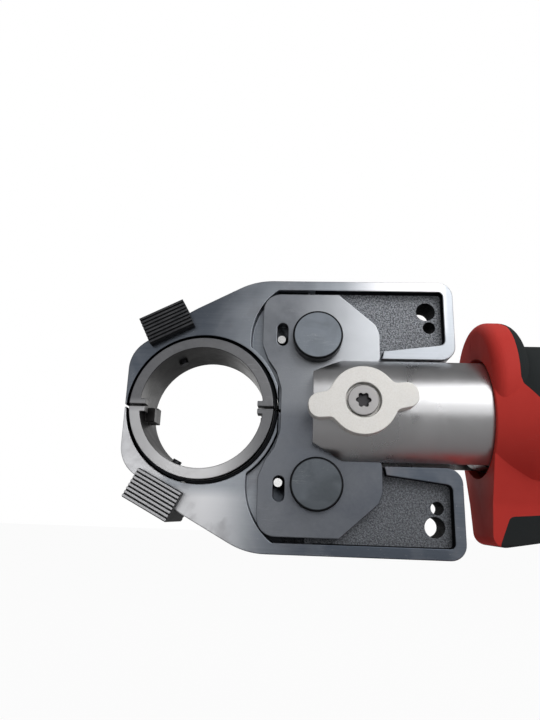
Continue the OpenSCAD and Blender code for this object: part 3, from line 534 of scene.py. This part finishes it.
mouldings = {
    "red": {
        "name": "redShell", "colour": (0.70, 0.058, 0.047), "shade": (0.58, 0.040, 0.033),
        "roughness": 0.60, "specular": 0.08, "scratch": 0.05,
    },
    "rubber": {
        "name": "blackOvermould", "colour": (0.030, 0.034, 0.035), "shade": (0.040, 0.044, 0.045),
        "roughness": 0.84, "bump": 0.00008, "specular": 0.06, "scratch": 0.0,
    },
    "black": {
        "name": "blackMoulding", "colour": (0.022, 0.022, 0.024), "shade": (0.03, 0.03, 0.033),
        "roughness": 0.45, "scratch": 0.03,
    },
    "pale": {
        "name": "greyMoulding", "colour": (0.55, 0.55, 0.55), "shade": (0.48, 0.48, 0.48), "roughness": 0.5,
    },
    "board": {
        "name": "circuitBoard", "colour": (0.02, 0.12, 0.05), "shade": (0.03, 0.16, 0.07), "roughness": 0.4,
    },
    "cell": {
        "name": "cellSleeve", "colour": (0.06, 0.22, 0.25), "shade": (0.05, 0.18, 0.2), "roughness": 0.3,
    },
}

materials = {"arm": buildArmSteel()}
for key, values in steels.items():
    materials[key] = buildSteel(**values)
for key, values in mouldings.items():
    materials[key] = buildPlastic(**values)
print("materials built:", len(materials))

finishes = {
    "arm": ["jaw_arm_upper", "jaw_arm_lower"],
    "plate": ["side_plate_front", "side_plate_rear"],
    "pin": ["jaw_pin_upper", "jaw_pin_lower"],
    "die": ["die_half_upper", "die_half_lower"],
    "blackBlock": ["die_release_upper", "die_release_lower"],
    "yoke": ["yoke"],
    "knob": ["wing_knob"],
    "knobScrew": ["knob_screw"],
    "dark": ["die_pin_upper", "die_pin_lower", "jaw_pin_washers", "jaw_pin_rings", "pin_collar"],
    "bright": [
        "limit_pin_upper", "limit_pin_lower", "locking_pin", "roller_upper", "roller_lower", "piston_rod",
        "pump_plunger",
    ],
    "grey": [
        "jaw_spring", "ram_fork", "roller_pins", "piston", "return_spring", "cylinder_tube", "cylinder_cap",
        "pump_block", "pump_shaft", "gearbox", "motor_can", "housing_screws",
    ],
    "brass": ["swivel_ring", "motor_rotor"],
    "red": ["housing_left", "housing_right"],
    "rubber": ["top_overmould", "chin_bumper", "grip_sleeve", "piston_seal", "reservoir"],
    "black": [
        "motor_fan", "trigger", "trigger_switch", "release_button", "terminal_block", "battery_case",
        "battery_lid", "latch_button_left", "latch_button_right", "cell_holders",
    ],
    "pale": ["gauge_button"],
    "board": ["control_board", "battery_board"],
    "cell": ["cells"],
}
for key, names in finishes.items():
    for name in names:
        mesh = nodes[name].data
        mesh.materials.clear()
        mesh.materials.append(materials[key])
print("finishes given to", sum(len(names) for names in finishes.values()), "nodes")


# edges of the metal pieces are rounded by modifiers, width in metres
edgeWidths = {
    "jaw_arm_upper": 0.0005, "jaw_arm_lower": 0.0005, "side_plate_front": 0.0004, "side_plate_rear": 0.0004,
    "jaw_pin_upper": 0.0008, "jaw_pin_lower": 0.0008, "die_half_upper": 0.0004, "die_half_lower": 0.0004,
    "die_release_upper": 0.00025, "die_release_lower": 0.00025, "wing_knob": 0.00035,
    "knob_screw": 0.0004, "pin_collar": 0.0004, "trigger": 0.0006,
}
edgeRounding = {"merge": 0.000002, "flatAngle": 0.1, "segments": 3, "bendAngle": 38, "faceWeight": 60}


def roundEdges(piece, width):
    weld = piece.modifiers.new("joinTriangles", "WELD")
    weld.merge_threshold = edgeRounding["merge"]
    flat = piece.modifiers.new("mergeFlats", "DECIMATE")
    flat.decimate_type = "DISSOLVE"
    flat.angle_limit = math.radians(edgeRounding["flatAngle"])
    bevel = piece.modifiers.new("roundEdges", "BEVEL")
    bevel.width = width
    bevel.segments = edgeRounding["segments"]
    bevel.limit_method = "ANGLE"
    bevel.angle_limit = math.radians(edgeRounding["bendAngle"])
    bevel.use_clamp_overlap = False
    bevel.miter_outer = "MITER_ARC"
    shade = piece.modifiers.new("evenNormals", "WEIGHTED_NORMAL")
    shade.mode = "FACE_AREA"
    shade.weight = edgeRounding["faceWeight"]
    shade.keep_sharp = True


# the yoke isn't in the list: its long round face shades cleanly only as it is
for name, width in edgeWidths.items():
    roundEdges(nodes[name], width)
print("edges rounded on", len(edgeWidths), "nodes")


# studio: white surround with a bright band at the height of the object, and three soft lamps
studio = {
    "seen": 1.0,
    # soft light from the left to the right
    "across": (-0.6, 0.6), "fromLeft": 0.12, "fromRight": 0.72,
    # what metal mirrors: dark below, grey above, a band between them and a shade at the left
    "dark": 0.08, "grey": 0.10, "greyRise": (-0.3, 0.1),
    "band": 1.30, "bandFoot": (-0.50, -0.12), "bandTop": (0.12, 0.40),
    "shadeLeft": 0.2, "shadeAcross": (-0.95, -0.45),
    "lamps": [
        # name, place, target, size, power
        ("keyLamp", (0.45, -0.70, 0.55), (0.08, 0.0, 0.0), 0.60, 3.2),
        ("fillLamp", (-0.55, -0.55, -0.15), (0.03, 0.0, 0.0), 0.50, 0.2),
        ("topLamp", (-0.10, 0.45, 0.80), (0.05, 0.0, 0.0), 0.70, 1.0),
    ],
}


def backLight(tree, strength):
    return put(tree, "ShaderNodeBackground", {"Color": (1, 1, 1, 1), "Strength": strength}).outputs[0]


def lightStudio():
    world = bpy.data.worlds.new("studioWorld")
    world.use_nodes = True
    tree = world.node_tree
    tree.nodes.clear()
    path = put(tree, "ShaderNodeLightPath").outputs
    across, _, rise = splitAxes(tree, put(tree, "ShaderNodeTexCoord").outputs["Generated"])
    band = maths(tree, "MULTIPLY", remap(tree, rise, *studio["bandFoot"], smooth=True),
                 remap(tree, rise, *studio["bandTop"], 1.0, 0.0, smooth=True))
    mirrored = remap(tree, rise, *studio["greyRise"], studio["dark"], studio["dark"] + studio["grey"])
    mirrored = maths(tree, "MULTIPLY_ADD", band, studio["band"], mirrored)
    shade = remap(tree, across, *studio["shadeAcross"], studio["shadeLeft"], 1.0)
    mirrored = maths(tree, "MULTIPLY", mirrored, shade)
    soft = remap(tree, across, *studio["across"], studio["fromLeft"], studio["fromRight"])
    lit = put(tree, "ShaderNodeMixShader", {
        0: path["Is Glossy Ray"], 1: backLight(tree, soft), 2: backLight(tree, mirrored),
    })
    camera = maths(tree, "MAXIMUM", path["Is Camera Ray"], path["Is Transmission Ray"])
    mixed = put(tree, "ShaderNodeMixShader", {0: camera, 1: lit.outputs[0], 2: backLight(tree, studio["seen"])})
    put(tree, "ShaderNodeOutputWorld", {"Surface": mixed.outputs[0]})
    scene.world = world
    for name, place, target, size, power in studio["lamps"]:
        data = bpy.data.lights.new(name, "AREA")
        data.size = size
        data.energy = power
        lamp = bpy.data.objects.new(name, data)
        lamp.location = place
        lamp.rotation_euler = (Vector(target) - Vector(place)).to_track_quat("-Z", "Y").to_euler()
        scene.collection.objects.link(lamp)


# pale floor: glow is how far the camera sees plain white, bounce is the colour that lights the object
studioFloor = {
    "size": 6.0, "below": 0.0002, "colour": (0.93, 0.93, 0.93), "bounce": (0.40, 0.40, 0.40),
    "roughness": 0.8, "glow": 0.94,
}


def layFloor():
    mesh = bpy.data.meshes.new("studioFloor")
    bm = bmesh.new()
    bmesh.ops.create_grid(bm, x_segments=1, y_segments=1, size=studioFloor["size"])
    bmesh.ops.translate(bm, verts=bm.verts, vec=(0.0, 0.0, cadLow.z - studioFloor["below"]))
    bm.to_mesh(mesh)
    bm.free()
    floor = bpy.data.objects.new("studioFloor", mesh)
    scene.collection.objects.link(floor)
    material, tree, surface = startMaterial(
        "paleFloor", studioFloor["colour"], 0.0, studioFloor["roughness"]
    )
    camera = put(tree, "ShaderNodeLightPath").outputs["Is Camera Ray"]
    tint = mixTint(tree, camera, studioFloor["bounce"], studioFloor["colour"])
    tree.links.new(tint, surface["Base Color"])
    glow = put(tree, "ShaderNodeEmission", {"Color": (1, 1, 1, 1), "Strength": 1.0})
    mixed = put(tree, "ShaderNodeMixShader", {
        0: maths(tree, "MULTIPLY", camera, studioFloor["glow"]),
        1: tree.nodes["Principled BSDF"].outputs[0], 2: glow.outputs[0],
    })
    tree.links.new(mixed.outputs[0], tree.nodes["Material Output"].inputs[0])
    mesh.materials.append(material)


lightStudio()
layFloor()
scene.view_settings.view_transform = "Standard"
print("studio lit")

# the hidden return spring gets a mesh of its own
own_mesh(nodes["return_spring"])
